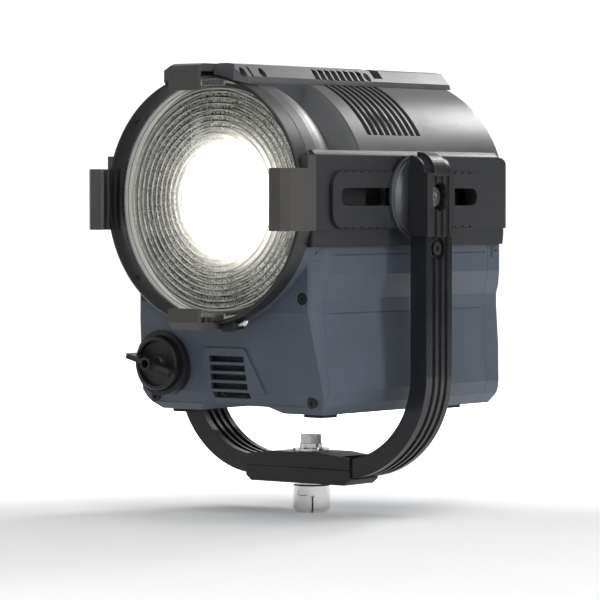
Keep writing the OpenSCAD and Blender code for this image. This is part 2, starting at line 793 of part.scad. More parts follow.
// ---------- accessory clips, latch and plunger ----------

lip_front = -38;
lip_in = 81;
// section of a clip: distance from the axis across, depth up
module clip_section(back, out) {
    polygon([
        [lip_in, lip_front], [out - 5.5, lip_front], [out, lip_front + 5], [out, back],
        [91.6, back], [91.6, -21], [87.5, -21], [87.5, -22.4], [91.6, -22.4],
        [91.6, -28], [87.5, -28], [87.5, -29.4], [91.6, -29.4], [91.6, -34.4], [lip_in, -34.4]
    ]);
}
// rise: how far the block at the clip's root stands above the clip
module side_clip(half, rise) {
    difference() {
        union() {
            translate([0, 0, -half]) linear_extrude(2 * half) clip_section(-2.2, 97);
            translate([90, -11.6, -half + 0.5]) cube([7, 9.4, 2 * half - 1 + rise]);
        }
        rod_y(collar_r, -collar_front, 60, 180);
    }
}
module accessory_clips() {
    color(CHARCOAL) head() {
        both_sides() side_clip(23, 10.4);
        rotate([0, 90, 0]) side_clip(14.5, 0);
    }
}
module top_latch() {
    color(BLACK) head() difference() {
        union() {
            along_x(-latch_half, latch_half) polygon([
                [lip_front, lip_in], [lip_front, 96], [lip_front + 2, 99.4], [lip_front + 7, latch_z + 3.3],
                [latch_y, latch_z + 3.3], [latch_y, 95.4], [-34.4, 95.4], [-34.4, lip_in]
            ]);
            translate([0, latch_y, latch_z]) rod_x(3.3, -latch_half, latch_half, 64);
        }
        translate([0, latch_y, latch_z]) rod_x(1.5 + fit, -20, 20, 48);
    }
}
module latch_pin() {
    color(STEEL) head() translate([0, latch_y, latch_z]) rod_x(1.5, -19, 19, 48);
}
// the plunger lies across the collar's lower edge, a little raised at its ball
plunger_at = [22, -8, -94.2];
plunger_rise = 12.5;
module plunger_frame() {
    translate(plunger_at) rotate([0, -plunger_rise, 0]) children();
}
module plunger_housing() {
    color(BLACK) head() difference() {
        plunger_frame() translate([-6, -5, -3.4]) cube([12, 12, 14]);
        rod_y(collar_r, -60, 60, 180);
        plunger_frame() rod_x(1.6, -30, 40, 32);
    }
}
module plunger_pin() {
    ball = 13;
    color(STEEL) head() plunger_frame() rotate([0, 90, 0]) rotate_extrude($fn = 48) polygon(concat(
        [[0, -6.8], [1.5, -6.8], [1.5, 6.2], [1.8, 6.2], [2.2, ball - 2]], arc(0, ball, 2.9, -44, 90, 12)
    ));
}

// ---------- focus drive ----------

flange_r = 24.8;
flange_boss = 9;
knob_back = 13.8;
flange_front = 9;
knob_front = 3;
module focus_flange() {
    color(BLACK) head() translate([-knob_x, 0, knob_z]) difference() {
        union() {
            rod_y(flange_r, flange_front, 17.5);
            rod_y(flange_boss, 17.4, 26, 64);
        }
        rod_y(screw_r + fit, 0, 60, 64);
        rod_y(knob_r + 0.5, 0, knob_back + 0.4);
        // seats against the sloping front of the base
        along_x(-60, 60) polygon([
            [face_at(-84) - fit, -84 - knob_z], [60, -84 - knob_z],
            [60, -200 - knob_z], [face_at(-200) - fit, -200 - knob_z]
        ]);
    }
}
module focus_knob() {
    bore = 3.3;
    color(BLACK) head() translate([-knob_x, 0, knob_z]) difference() {
        union() {
            turned() polygon([
                [0, knob_back], [0, 6], [16.6, 6], [17.4, knob_front], [knob_r - 0.8, knob_front],
                [knob_r, knob_front + 0.8], [knob_r, knob_back]
            ]);
            rod_y(4.9, -9.5, 6.1, 64);
            rotate([0, 15, 0]) translate([-22, -6.5, -2]) cube([44, 12.6, 4]);
            rotate([0, 15, 0]) along_x(2, 15) polygon([[6.1, -2], [6.1, -7], [-1, -2]]);
        }
        rod_y(bore, -20, 0, 48);
        rod_y(screw_r, 3.9, 20, 64);
    }
}
module lead_screw() {
    color(STEEL) head() translate([-knob_x, 0, knob_z]) rod_y(screw_r, 4, 226, 64);
}
module guide_rods() {
    color(STEEL) head() both_sides() translate([rod_x, 0, rod_z]) rod_y(rod_r, lens_t + 1.6, 238.8, 48);
}

// ---------- light engine ----------

plate_y = 97;
module led_carriage() {
    color(CHARCOAL) head() difference() {
        union() {
            along_y(plate_y, plate_y + 4) polygon([
                [-60, 50], [-50, 60], [50, 60], [60, 50], [60, -22], [78, -28], [78, -44], [60, -50],
                [-48, -60], [-50, knob_z - 8], [-72, knob_z - 8], [-74, -60],
                [-78, -44], [-78, -28], [-60, -22]
            ]);
            both_sides() translate([rod_x, 0, rod_z]) rod_y(8, plate_y - 8, plate_y + 12, 48);
            translate([-knob_x, 0, knob_z]) rod_y(9, plate_y - 6, plate_y + 12, 48);
        }
        both_sides() translate([rod_x, 0, rod_z]) rod_y(rod_r + fit, 0, 300, 48);
        translate([-knob_x, 0, knob_z]) rod_y(screw_r + fit, 0, 300, 64);
    }
}
module led_board() {
    color("#e8e2c0") head() {
        difference() {
            along_y(plate_y - 2, plate_y) rect(-34, -34, 34, 34);
            for (x = [-28, 28], z = [-28, 28]) translate([x, 0, z]) rod_y(1.6, 0, 200, 32);
        }
        rod_y(22, plate_y - 3.4, plate_y - 1.9, 96);
    }
}
module heatsink() {
    fins = 15;
    pitch = 7;
    color(STEEL) head() {
        along_y(plate_y + 4, plate_y + 10) rect(-52, -50, 52, 50);
        for (i = [0:fins - 1]) along_y(plate_y + 9.9, plate_y + 46)
            rect(-50 + i * pitch, -48, -48 + i * pitch, 48);
    }
}
fan_y = plate_y + 46.1;
module fan_frame() {
    color(BLACK) head() {
        difference() {
            along_y(fan_y, fan_y + 25) round_rect(-46, -46, 46, 46, 4);
            rod_y(43.5, fan_y - 1, fan_y + 26, 120);
        }
        difference() {
            union() {
                rod_y(18, fan_y + 22, fan_y + 25, 64);
                for (a = [45, 135]) rotate([0, a, 0]) translate([-44, fan_y + 22, -3]) cube([88, 3, 6]);
            }
            rod_y(2 + fit, fan_y, fan_y + 30, 32);
        }
    }
}
module fan_rotor() {
    blades = 7;
    color(CHARCOAL) head() {
        rod_y(2, fan_y + 6, fan_y + 25, 32);
        rod_y(17, fan_y + 2, fan_y + 21, 64);
        for (i = [0:blades - 1]) rotate([0, i * 360 / blades, 0]) translate([16, fan_y + 11, 0])
            rotate([35, 0, 0]) translate([0, -9, -1]) cube([26, 18, 2]);
    }
}

// ---------- electronics ----------

tray_z = -152;
module chassis_tray() {
    color(STEEL) head() difference() {
        union() {
            translate([0, 0, tray_z]) linear_extrude(2) rect(-78, 32, 78, 220);
            // turned-up lug that carries the lead screw's far end
            along_y(213, 216) rect(-knob_x - 12, tray_z, -knob_x + 12, knob_z + 11);
        }
        for (x = [-70, 70], y = [40, 206]) translate([x, y, tray_z - 1]) cylinder(h = 5, r = 2.1, $fn = 32);
        translate([-knob_x, 0, knob_z]) rod_y(screw_r + fit, 200, 230, 64);
    }
}
module power_supply() {
    color("#9a9da2") head() difference() {
        translate([-34, 44, -149.9]) cube([108, 130, 62]);
        for (i = [0:9]) translate([-24 + i * 10, 43, -140]) cube([5, 2.5, 42]);
    }
}
module control_board() {
    color("#2e6b3f") head() {
        along_y(228, 229.8) rect(-70, -74, 70, -48);
        along_y(221, 228.1) rect(-20, -68, 12, -54);
    }
}
module control_panel() {
    color(BLACK) head() difference() {
        along_y(barrel_back - 3.3, barrel_back - 0.6)
            rect(-panel_x + 0.1, panel_low + 0.1, panel_x - 0.1, panel_high - 0.1);
        along_y(barrel_back - 2, barrel_back + 1) rect(-38, 14, 14, 48);
        translate([30, 0, 31]) rod_y(3 + fit, 200, 300, 48);
        for (x = [-28, 0, 28]) translate([x, 0, -8]) rod_y(5.3, 200, 300, 48);
    }
}
module display_window() {
    color("#10202a") head() along_y(barrel_back - 1.9, barrel_back - 0.7) rect(-37.9, 14.1, 13.9, 47.9);
}
module menu_knob() {
    color(CHARCOAL) head() translate([30, 0, 31]) difference() {
        union() {
            rod_y(10, barrel_back - 0.4, barrel_back + 10, 64);
            rod_y(3, barrel_back - 12, barrel_back, 48);
        }
        for (i = [0:17]) rotate([0, i * 20, 0]) translate([10.4, 0, 0])
            rod_y(0.9, barrel_back + 1, barrel_back + 12, 16);
    }
}
module button(x) {
    color(CHARCOAL) head() translate([x, 0, -8]) {
        rod_y(5, barrel_back - 5, barrel_back + 1.4, 48);
        rod_y(6.5, barrel_back - 6, barrel_back - 4.9, 48);
    }
}
module button_left() { button(-28); }
module button_middle() { button(0); }
module button_right() { button(28); }

module rear_connectors() {
    color(STEEL) head() for (p = socket_places) translate([p[0], 0, p[1]]) difference() {
        union() {
            rod_y(11.5, barrel_back - 16, barrel_back + 0.2, 64);
            along_y(barrel_back + 0.1, barrel_back + 2) round_rect(-13, -15.5, 13, 15.5, 2.5);
        }
        rod_y(9.4, barrel_back - 9, barrel_back + 4, 64);
    }
}
module safety_eye() {
    color(STEEL) head() translate([0, barrel_back - 0.4, 79]) difference() {
        union() {
            along_y(0, 2.4) round_rect(-13, -6, 13, 6, 3);
            translate([-2.5, 2.3, -6]) cube([5, 5, 12]);
            translate([0, 7.3, 0]) rotate([0, 90, 0]) translate([0, 0, -2.5])
                cylinder(h = 5, r = 6, $fn = 64);
        }
        translate([0, 7, 0]) rod_x(3.2, -10, 10, 48);
    }
}

spigot();
spigot_washer();
yoke_bolt();
bolt_washers();
yoke_arm_left();
yoke_arm_right();
clamp_upper();
clamp_lower();
clamp_screws();
yoke_end_left();
yoke_end_right();
yoke_end_screws();
tilt_lock_lever();
hub_disc_left();
hub_disc_right();
pivot_bolt_left();
pivot_bolt_right();
slot_nuts();
barrel_shell();
top_spine();
front_collar();
rear_housing_cover();
side_panel_left();
side_panel_right();
slot_plate_left();
slot_plate_right();
base_front_cover();
base_mid_shell();
base_rear_cover();
base_feet();
cover_screws();
lens_ring();
fresnel_lens();
lens_clips();
lens_cell();
accessory_clips();
top_latch();
latch_pin();
plunger_housing();
plunger_pin();
focus_flange();
focus_knob();
lead_screw();
guide_rods();
led_carriage();
led_board();
heatsink();
fan_frame();
fan_rotor();
power_supply();
control_board();
chassis_tray();
control_panel();
display_window();
menu_knob();
button_left();
button_middle();
button_right();
rear_connectors();
safety_eye();
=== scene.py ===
import json
import math

import bpy
import bmesh
from mathutils import Matrix, Vector


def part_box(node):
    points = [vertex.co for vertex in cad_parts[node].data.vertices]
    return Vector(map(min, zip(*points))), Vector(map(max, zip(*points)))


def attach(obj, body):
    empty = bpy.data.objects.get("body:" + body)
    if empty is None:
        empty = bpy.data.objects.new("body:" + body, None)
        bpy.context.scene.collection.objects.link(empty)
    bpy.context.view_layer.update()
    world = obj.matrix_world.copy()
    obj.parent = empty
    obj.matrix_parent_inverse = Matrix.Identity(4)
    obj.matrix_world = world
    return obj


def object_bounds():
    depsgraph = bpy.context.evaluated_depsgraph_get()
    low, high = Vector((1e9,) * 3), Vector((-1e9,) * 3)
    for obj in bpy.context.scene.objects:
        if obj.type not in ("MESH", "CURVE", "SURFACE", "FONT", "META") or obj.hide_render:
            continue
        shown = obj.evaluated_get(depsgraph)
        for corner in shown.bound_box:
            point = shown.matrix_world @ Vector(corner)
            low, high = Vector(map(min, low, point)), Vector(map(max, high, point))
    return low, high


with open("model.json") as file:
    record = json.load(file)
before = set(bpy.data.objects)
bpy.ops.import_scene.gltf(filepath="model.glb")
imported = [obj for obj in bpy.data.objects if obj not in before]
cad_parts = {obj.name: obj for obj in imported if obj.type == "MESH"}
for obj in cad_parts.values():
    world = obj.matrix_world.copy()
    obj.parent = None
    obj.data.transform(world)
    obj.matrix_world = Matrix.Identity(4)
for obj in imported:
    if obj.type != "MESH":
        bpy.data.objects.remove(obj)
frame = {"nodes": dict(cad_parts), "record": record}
cad_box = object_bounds()
nodes = frame["nodes"]
scene = bpy.context.scene
MM = 0.001


# ---------- places worked out from the frame ----------

RIM_DEPTH = 1.5 * MM          # from the lens's foremost point back to its rim's plane

lens_low, lens_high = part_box("fresnel_lens")
LENS = Vector((0, lens_low.y + RIM_DEPTH, (lens_low.z + lens_high.z) / 2))


def at(x, y, z):
    """A point in millimetres from the lens rim's centre, as a row-frame point in metres."""
    return LENS + Vector((x, y, z)) * MM


# ---------- material building ----------

class Shader:
    """A material's node tree, with short calls for the nodes that the materials share."""

    def __init__(self, name):
        self.material = bpy.data.materials.new(name)
        self.material.use_nodes = True
        self.tree = self.material.node_tree
        self.tree.nodes.clear()
        self.out = self.add("ShaderNodeOutputMaterial")
        self.place = self.add("ShaderNodeTexCoord").outputs["Object"]

    def add(self, kind, **settings):
        node = self.tree.nodes.new(kind)
        for key, value in settings.items():
            setattr(node, key, value)
        return node

    def link(self, source, target):
        self.tree.links.new(source, target)

    def feed(self, socket, value):
        if isinstance(value, bpy.types.NodeSocket):
            self.link(value, socket)
        else:
            socket.default_value = value

    def math(self, operation, a, b=0.0, clamp=False):
        node = self.add("ShaderNodeMath", operation=operation, use_clamp=clamp)
        self.feed(node.inputs[0], a)
        self.feed(node.inputs[1], b)
        return node.outputs[0]

    def mapped(self, value, low, high, to_low=0.0, to_high=1.0, smooth=False):
        node = self.add("ShaderNodeMapRange", interpolation_type="SMOOTHSTEP" if smooth else "LINEAR")
        for name, v in (("Value", value), ("From Min", low), ("From Max", high),
                        ("To Min", to_low), ("To Max", to_high)):
            self.feed(node.inputs[name], v)
        return node.outputs[0]

    def noise(self, scale, detail=3.0, roughness=0.5, place=None):
        node = self.add("ShaderNodeTexNoise")
        self.link(place or self.place, node.inputs["Vector"])
        node.inputs["Scale"].default_value = scale
        node.inputs["Detail"].default_value = detail
        node.inputs["Roughness"].default_value = roughness
        return node.outputs["Fac"]

    def cells(self, scale, feature="F1", place=None):
        node = self.add("ShaderNodeTexVoronoi", feature=feature)
        self.link(place or self.place, node.inputs["Vector"])
        node.inputs["Scale"].default_value = scale
        return node

    def mix(self, amount, a, b):
        node = self.add("ShaderNodeMix", data_type="RGBA")
        self.feed(node.inputs["Factor"], amount)
        for socket, value in ((node.inputs["A"], a), (node.inputs["B"], b)):
            self.feed(socket, value if isinstance(value, bpy.types.NodeSocket) else rgba(value))
        return node.outputs["Result"]

    def stretched(self, x, y, z):
        node = self.add("ShaderNodeMapping")
        self.link(self.place, node.inputs["Vector"])
        node.inputs["Scale"].default_value = (x, y, z)
        return node.outputs["Vector"]

    def bump(self, height, distance, strength=1.0, normal=None):
        node = self.add("ShaderNodeBump")
        node.inputs["Strength"].default_value = strength
        node.inputs["Distance"].default_value = distance
        self.link(height, node.inputs["Height"])
        if normal is not None:
            self.link(normal, node.inputs["Normal"])
        return node.outputs["Normal"]

    def rounded(self, radius):
        """The normal with edges rounded off by radius, and how far it turns from the flat one."""
        bevel = self.add("ShaderNodeBevel", samples=6)
        bevel.inputs["Radius"].default_value = radius
        normal = self.add("ShaderNodeNewGeometry").outputs["Normal"]
        dot = self.add("ShaderNodeVectorMath", operation="DOT_PRODUCT")
        self.link(bevel.outputs["Normal"], dot.inputs[0])
        self.link(normal, dot.inputs[1])
        return bevel.outputs["Normal"], self.mapped(dot.outputs["Value"], 0.995, 0.80)

    def surface(self, **values):
        node = self.add("ShaderNodeBsdfPrincipled")
        for name, value in values.items():
            self.feed(node.inputs[name.replace("_", " ")], value)
        self.link(node.outputs["BSDF"], self.out.inputs["Surface"])
        return node


def rgba(color):
    return (*color[:3], 1.0)


def tint(color, amount):
    return tuple(c * amount for c in color)


def coated(name, color, rough=0.5, grain=1500.0, height=0.03 * MM, wear_and_highlight=0.25, speckle=0.12,
           edge=0.5 * MM):
    """Powder coat or moulded plastic: fine grain in the surface, slight mottle, and lighter edges that are
    partly wear and partly a painted edge highlight.
    """
    s = Shader(name)
    mottle = s.noise(28.0, 4.0)
    fine = s.noise(grain, 2.0, 0.6)
    dust = s.noise(grain * 0.45, 1.0)
    base = s.mix(s.mapped(mottle, 0.3, 0.7), rgba(tint(color, 0.90)), rgba(tint(color, 1.10)))
    specks = s.mapped(fine, 0.62, 0.74, 0.0, speckle)
    base = s.mix(specks, base, rgba(tuple(min(1.0, c * 2.6 + 0.05) for c in color)))
    normal, turned = s.rounded(edge)
    # painted edge highlight mixed with wear: rounded edges are lightened in patches
    edge_patches = s.mapped(s.noise(160.0, 5.0, 0.7), 0.42, 0.62)
    worn_and_lit_edges = s.math("MULTIPLY", s.math("MULTIPLY", turned, edge_patches), wear_and_highlight)
    base = s.mix(worn_and_lit_edges, base, rgba(tuple(min(1.0, c * 1.8 + 0.10) for c in color)))
    roughness = s.mapped(s.math("ADD", s.math("MULTIPLY", mottle, 0.6), s.math("MULTIPLY", dust, 0.4)),
                         0.3, 0.7, rough - 0.06, rough + 0.08)
    s.surface(Base_Color=base, Roughness=roughness, Normal=s.bump(fine, height, 1.0, normal))
    return s.material


def metal(name, color, rough=0.25, stretch=(1, 1, 40), height=0.01 * MM, edge=0.3 * MM, tarnish=0.15):
    """Bare or plated metal with drawn or turned marks along one direction."""
    s = Shader(name)
    marks = s.noise(900.0, 3.0, 0.7, s.stretched(*stretch))
    cloud = s.noise(45.0, 4.0)
    base = s.mix(s.mapped(cloud, 0.35, 0.7, 0.0, tarnish), rgba(color), rgba(tint(color, 0.55)))
    normal, _ = s.rounded(edge)
    roughness = s.mapped(marks, 0.3, 0.7, max(0.03, rough - 0.08), rough + 0.10)
    s.surface(Base_Color=base, Metallic=1.0, Roughness=roughness,
              Normal=s.bump(marks, height, 1.0, normal))
    return s.material


# ---------- the record's materials ----------

RING_FIRST, RING_PITCH, RINGS = 13.5 * MM, 4.5 * MM, 15      # the lens's prism rings, as the CAD has them


def polar(s):
    """Distance from the optical axis, and the unit direction away from it, at the shaded point."""
    apart = s.add("ShaderNodeVectorMath", operation="SUBTRACT")
    s.link(s.place, apart.inputs[0])
    apart.inputs[1].default_value = LENS
    flat = s.add("ShaderNodeVectorMath", operation="MULTIPLY")
    s.link(apart.outputs[0], flat.inputs[0])
    flat.inputs[1].default_value = (1, 0, 1)
    length = s.add("ShaderNodeVectorMath", operation="LENGTH")
    s.link(flat.outputs[0], length.inputs[0])
    unit = s.add("ShaderNodeVectorMath", operation="NORMALIZE")
    s.link(flat.outputs[0], unit.inputs[0])
    return length.outputs["Value"], unit.outputs[0]


def lens_material():
    """Pressed glass: clear slopes with glossy lights, painted highlight lines on the ring edges, ring walls
    and flange, painted shadow lines beside the ring lines, and a painted glow strongest near the centre.
    """
    s = Shader("lens_glass")
    radius, away = polar(s)
    step = s.math("DIVIDE", s.math("SUBTRACT", radius, RING_FIRST), RING_PITCH)
    place = s.math("SUBTRACT", s.math("FRACT", s.math("ADD", step, 0.5)), 0.5)
    # painted highlight: a bright line at each ring edge
    edge = s.mapped(s.math("ABSOLUTE", place), 0.12, 0.03)
    # painted shadow: a dark line on one side of each ring line, from 40 mm out
    shadow = s.math("MULTIPLY", s.mapped(place, 0.06, 0.13), s.mapped(place, 0.40, 0.24))
    shadow = s.math("MULTIPLY", shadow, s.mapped(radius, 40 * MM, 58 * MM))
    edge = s.math("MULTIPLY", edge, s.math("LESS_THAN", step, RINGS + 0.3))
    uneven = s.mapped(s.noise(260.0, 3.0, 0.7), 0.30, 0.62, 0.25, 1.0)
    geometry = s.add("ShaderNodeNewGeometry")
    inward = s.add("ShaderNodeVectorMath", operation="DOT_PRODUCT")
    s.link(away, inward.inputs[0])
    s.link(geometry.outputs["True Normal"], inward.inputs[1])
    # painted highlight on the ring walls that face the axis
    wall = s.mapped(inward.outputs["Value"], -0.6, -0.85)
    ring_highlight_lines = s.math("MAXIMUM", s.math("MULTIPLY", wall, 0.42), s.math("MULTIPLY", edge, 0.55))
    lit = s.math("MULTIPLY", ring_highlight_lines, uneven)
    # painted highlight: bright rings at the lens flange and rim
    flange_highlight = s.mapped(radius, 83.0 * MM, 83.6 * MM, 0.0, 0.03)
    for at_radius, strength in ((83.3 * MM, 0.45), (88.8 * MM, 1.0)):
        gap = s.math("ABSOLUTE", s.math("SUBTRACT", radius, at_radius))
        flange_highlight = s.math("MAXIMUM", flange_highlight, s.mapped(gap, 0.6 * MM, 0.3 * MM, 0.0, strength))
    lit = s.math("MAXIMUM", lit, flange_highlight)
    pebble = s.noise(700.0, 2.0)
    glossy = s.add("ShaderNodeBsdfGlossy")
    glossy.inputs["Color"].default_value = (0.96, 0.97, 0.96, 1)
    glossy.inputs["Roughness"].default_value = 0.10
    s.link(s.bump(pebble, 0.10 * MM, 0.5), glossy.inputs["Normal"])
    clear = s.add("ShaderNodeBsdfTransparent")
    s.link(s.mix(shadow, (0.97, 0.975, 0.965, 1), (0.40, 0.40, 0.38, 1)), clear.inputs["Color"])
    shine = s.add("ShaderNodeFresnel")
    shine.inputs["IOR"].default_value = 1.5
    body = s.add("ShaderNodeMixShader")
    s.link(s.mapped(shine.outputs[0], 0.0, 1.0, 0.02, 1.0), body.inputs[0])
    s.link(clear.outputs[0], body.inputs[1])
    s.link(glossy.outputs[0], body.inputs[2])
    # white of the painted highlight lines
    highlight_white = s.add("ShaderNodeBsdfDiffuse")
    highlight_white.inputs["Color"].default_value = (0.82, 0.82, 0.79, 1)
    # painted glow on the highlight lines, strongest near the centre
    painted_glow = s.add("ShaderNodeEmission")
    painted_glow.inputs["Color"].default_value = (1.0, 0.97, 0.92, 1)
    s.link(s.mapped(radius, 22 * MM, 52 * MM, 2.5, 0.13, True), painted_glow.inputs["Strength"])
    bright = s.add("ShaderNodeAddShader")
    s.link(highlight_white.outputs[0], bright.inputs[0])
    s.link(painted_glow.outputs[0], bright.inputs[1])
    surface = s.add("ShaderNodeMixShader")
    s.link(lit, surface.inputs[0])
    s.link(body.outputs[0], surface.inputs[1])
    s.link(bright.outputs[0], surface.inputs[2])
    s.link(surface.outputs[0], s.out.inputs["Surface"])
    return s.material


def display_material():
    s = Shader("display")
    low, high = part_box("display_window")
    separate = s.add("ShaderNodeSeparateXYZ")
    s.link(s.place, separate.inputs[0])
    x = s.mapped(separate.outputs["X"], low.x, high.x)
    z = s.mapped(separate.outputs["Z"], low.z, high.z)
    row = s.math("FRACT", s.math("MULTIPLY", z, 4.0))
    number = s.math("FLOOR", s.math("MULTIPLY", z, 4.0))
    reach = s.math("FRACT", s.math("ADD", s.math("MULTIPLY", number, 0.37), 0.45))
    bar = s.math("MULTIPLY", s.math("GREATER_THAN", row, 0.35), s.math("LESS_THAN", row, 0.62))
    tip = s.math("ADD", s.math("MULTIPLY", reach, 0.6), 0.2)
    bar = s.math("MULTIPLY", bar, s.math("LESS_THAN", x, tip))
    bar = s.math("MULTIPLY", bar, s.math("GREATER_THAN", x, 0.08))
    glow = s.mix(bar, (0.010, 0.022, 0.032, 1), (0.35, 0.62, 0.72, 1))
    s.surface(Base_Color=(0.01, 0.012, 0.015, 1), Roughness=0.08, Emission_Color=glow,
              Emission_Strength=0.8)
    return s.material


def board_material():
    s = Shader("board_green")
    squares = s.cells(160.0, "F1")
    chips = s.mapped(squares.outputs["Distance"], 0.2, 0.25)
    color = s.mix(chips, (0.02, 0.02, 0.02, 1), (0.03, 0.16, 0.07, 1))
    s.surface(Base_Color=color, Roughness=0.35)
    return s.material


def ceramic_material():
    s = Shader("led_ceramic")
    dots = s.cells(420.0, "F1")
    chips = s.mapped(dots.outputs["Distance"], 0.2, 0.5)
    color = s.mix(chips, (0.95, 0.80, 0.30, 1), (0.85, 0.83, 0.75, 1))
    s.surface(Base_Color=color, Roughness=0.5)
    return s.material


MATERIALS = {
    "chrome": metal("chrome", (0.70, 0.70, 0.69), 0.10, (1, 1, 30), 0.0004 * MM, tarnish=0.10),
    "steel": metal("steel", (0.74, 0.74, 0.73), 0.22),
    "yoke_black": coated("yoke_black", (0.010, 0.011, 0.013), 0.22, 1800.0, 0.002 * MM, 0.3, 0.0, 0.5 * MM),
    "casting_black": coated("casting_black", (0.014, 0.014, 0.016), 0.38, 1100.0, 0.03 * MM, 0.25, 0.03),
    "hub_grey": coated("hub_grey", (0.040, 0.045, 0.054), 0.36, 1500.0, 0.01 * MM, 0.2, 0.02),
    "housing_charcoal": coated("housing_charcoal", (0.058, 0.060, 0.063), 0.38, 950.0, 0.06 * MM,
                               0.25, 0.22),
    "panel_black": coated("panel_black", (0.012, 0.013, 0.016), 0.55, 1300.0, 0.03 * MM, 0.2, 0.03),
    "base_slate": coated("base_slate", (0.064, 0.079, 0.106), 0.50, 1300.0, 0.03 * MM, 0.2, 0.03),
    "rubber": coated("rubber", (0.015, 0.015, 0.015), 0.8, 700.0, 0.05 * MM, 0.1, 0.02),
    "screw_black": coated("screw_black", (0.004, 0.004, 0.005), 0.45, 1500.0, 0.01 * MM, 0.3, 0.02),
    "bare_aluminium": metal("bare_aluminium", (0.70, 0.71, 0.72), 0.30, (1, 30, 1)),
    "lens_glass": lens_material(),
    "clip_grey": coated("clip_grey", (0.058, 0.055, 0.052), 0.42, 1200.0, 0.03 * MM, 0.25, 0.05),
    "knob_plastic": coated("knob_plastic", (0.014, 0.014, 0.016), 0.36, 1600.0, 0.015 * MM, 0.25, 0.02),
    "led_ceramic": ceramic_material(),
    "board_green": board_material(),
    "display": display_material(),
    "connector_black": coated("connector_black", (0.015, 0.015, 0.017), 0.38, 1500.0, 0.01 * MM, 0.2, 0.02),
}


def dress(obj, material):
    obj.data.materials.clear()
    obj.data.materials.append(material)


for part in frame["record"]["subparts"]:
    dress(nodes[part["node"]], MATERIALS[part["material_slot"]])


# ---------- mesh helpers ----------

def piece(name, mesh, material, body, smooth=False):
    obj = bpy.data.objects.new(name, mesh)
    scene.collection.objects.link(obj)
    dress(obj, material)
    for face in mesh.polygons:
        face.use_smooth = smooth
    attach(obj, body)
    return obj


def turned_mesh(name, outline, steps=180, cap=False):
    """Turns points of (radius, depth) in millimetres about the optical axis."""
    bm = bmesh.new()
    rings = []
    for r, y in outline:
        rings.append([bm.verts.new(at(r * math.cos(a), y, r * math.sin(a)))
                      for a in (2 * math.pi * k / steps for k in range(steps))])
    for a, b in zip(rings, rings[1:] + ([rings[0]] if cap else [])):
        for k in range(steps):
            bm.faces.new((a[k], a[(k + 1) % steps], b[(k + 1) % steps], b[k]))
    bm.normal_update()
    bmesh.ops.recalc_face_normals(bm, faces=bm.faces)
    mesh = bpy.data.meshes.new(name)
    bm.to_mesh(mesh)
    bm.free()
    return mesh


# ---------- the lens's pebbled back and its painted glow ---

def glow_material():
    """Painted glow in the pebbled back, standing for the light seen through the lens: a white core that
    breaks up outwards into grains and streaks.
    """
    s = Shader("lens_painted_glow")
    radius, away = polar(s)
    scaled = s.add("ShaderNodeVectorMath", operation="SCALE")
    s.link(away, scaled.inputs[0])
    scaled.inputs["Scale"].default_value = 9.0
    depth = s.add("ShaderNodeCombineXYZ")
    s.link(s.math("MULTIPLY", radius, 160.0), depth.inputs["Y"])
    streak_at = s.add("ShaderNodeVectorMath", operation="ADD")
    s.link(scaled.outputs[0], streak_at.inputs[0])
    s.link(depth.outputs[0], streak_at.inputs[1])
    streaks = s.noise(1.0, 4.0, 0.65, streak_at.outputs[0])
    grain = s.noise(760.0, 2.0, 0.55)
    soft = s.noise(90.0, 3.0, 0.6)
    ragged = s.math("ADD", radius, s.math("MULTIPLY", s.math("SUBTRACT", grain, 0.5), 20 * MM))
    ragged = s.math("ADD", ragged, s.math("MULTIPLY", s.math("SUBTRACT", streaks, 0.5), 16 * MM))
    core = s.mapped(ragged, 20 * MM, 66 * MM, 1.0, 0.0, True)
    halo = s.mapped(radius, 36 * MM, 96 * MM, 1.0, 0.0)
    lumps = s.math("ADD", s.math("MULTIPLY", grain, 0.75), s.math("MULTIPLY", streaks, 0.25))
    lumps = s.mapped(lumps, 0.45, 0.56)
    heart = s.mapped(ragged, 28 * MM, 57 * MM, 1.0, 0.0, True)
    core = s.math("MULTIPLY", s.math("POWER", core, 1.3), 1.2)
    core = s.math("ADD", core, s.math("MULTIPLY", s.math("POWER", heart, 1.5), 4.5))
    # painted glints: the pebble lumps add emission in the halo round the core
    light = s.math("ADD", core, s.math("MULTIPLY", s.math("MULTIPLY", halo, lumps), 0.24))
    # painted warm light: brown near the core, fading to near black outwards
    painted_core_warmth = s.mix(s.mapped(radius, 44 * MM, 66 * MM), (0.13, 0.098, 0.066, 1), (0.022, 0.022, 0.020, 1))
    # pebble grains, light and dark; the light ones are partly painted glints
    color = s.mix(lumps, painted_core_warmth, (0.74, 0.74, 0.71, 1))
    color = s.mix(s.mapped(soft, 0.40, 0.70, 0.0, 0.30), color, (0.12, 0.11, 0.095, 1))
    s.surface(Base_Color=color, Roughness=0.22, Emission_Color=(1.0, 0.965, 0.91, 1),
              Emission_Strength=light, Normal=s.bump(grain, 0.7 * MM, 1.0))
    return s.material


PAINTED_GLOW = glow_material()
DISH_R, DISH_FRONT, DISH_DEPTH = 82.6, 9.4, 15.5       # the pebbled back, in millimetres
dish = [(r, DISH_FRONT + DISH_DEPTH * (1 - (r / DISH_R) ** 2) ** 1.5)
        for r in (0.4, 8, 16, 24, 32, 40, 48, 56, 64, 71, 77, 81)]
back = turned_mesh("lens_pebbled_back", dish + [(DISH_R, 9.3)])
piece("lens_pebbled_back", back, PAINTED_GLOW, "head", True)


# ---------- small shapes ----------

def block(bm, middle, size, turn=None):
    matrix = Matrix.Translation(middle) @ (turn or Matrix.Identity(4)) @ Matrix.Diagonal((*size, 1))
    bmesh.ops.create_cube(bm, size=1, matrix=matrix)


